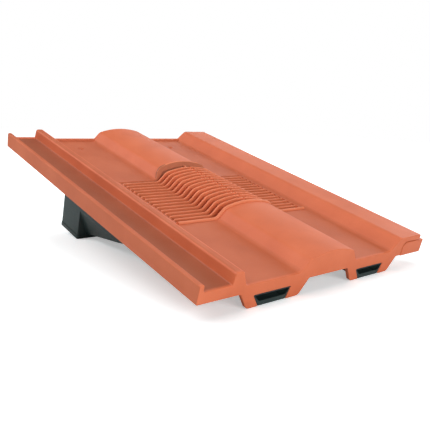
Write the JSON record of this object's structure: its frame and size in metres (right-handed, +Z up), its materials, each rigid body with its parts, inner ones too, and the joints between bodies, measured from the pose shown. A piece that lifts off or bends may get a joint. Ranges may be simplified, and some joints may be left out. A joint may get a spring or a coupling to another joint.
{
  "type": "double roman roof vent tile",
  "caption": "Moulded ventilation roof tile with pans, rolls, a louvred grille that follows the profile, and a dark hollow duct with a spigot below.",
  "frame": {"origin": "on the floor, under the middle of the part's box", "axes": "+X across the tile to the cover roll, +Y from the nose to the head along the floor, +Z up"},
  "size_m": [0.339, 0.4138, 0.1427],
  "materials": {
    "terracotta": "matt terracotta plastic with a fine grain",
    "duct_black": "satin black plastic"
  },
  "bodies": {
    "root": {"tile_body": "terracotta", "underduct": "duct_black", "lap_block": "terracotta"}
  },
  "joints": []
}
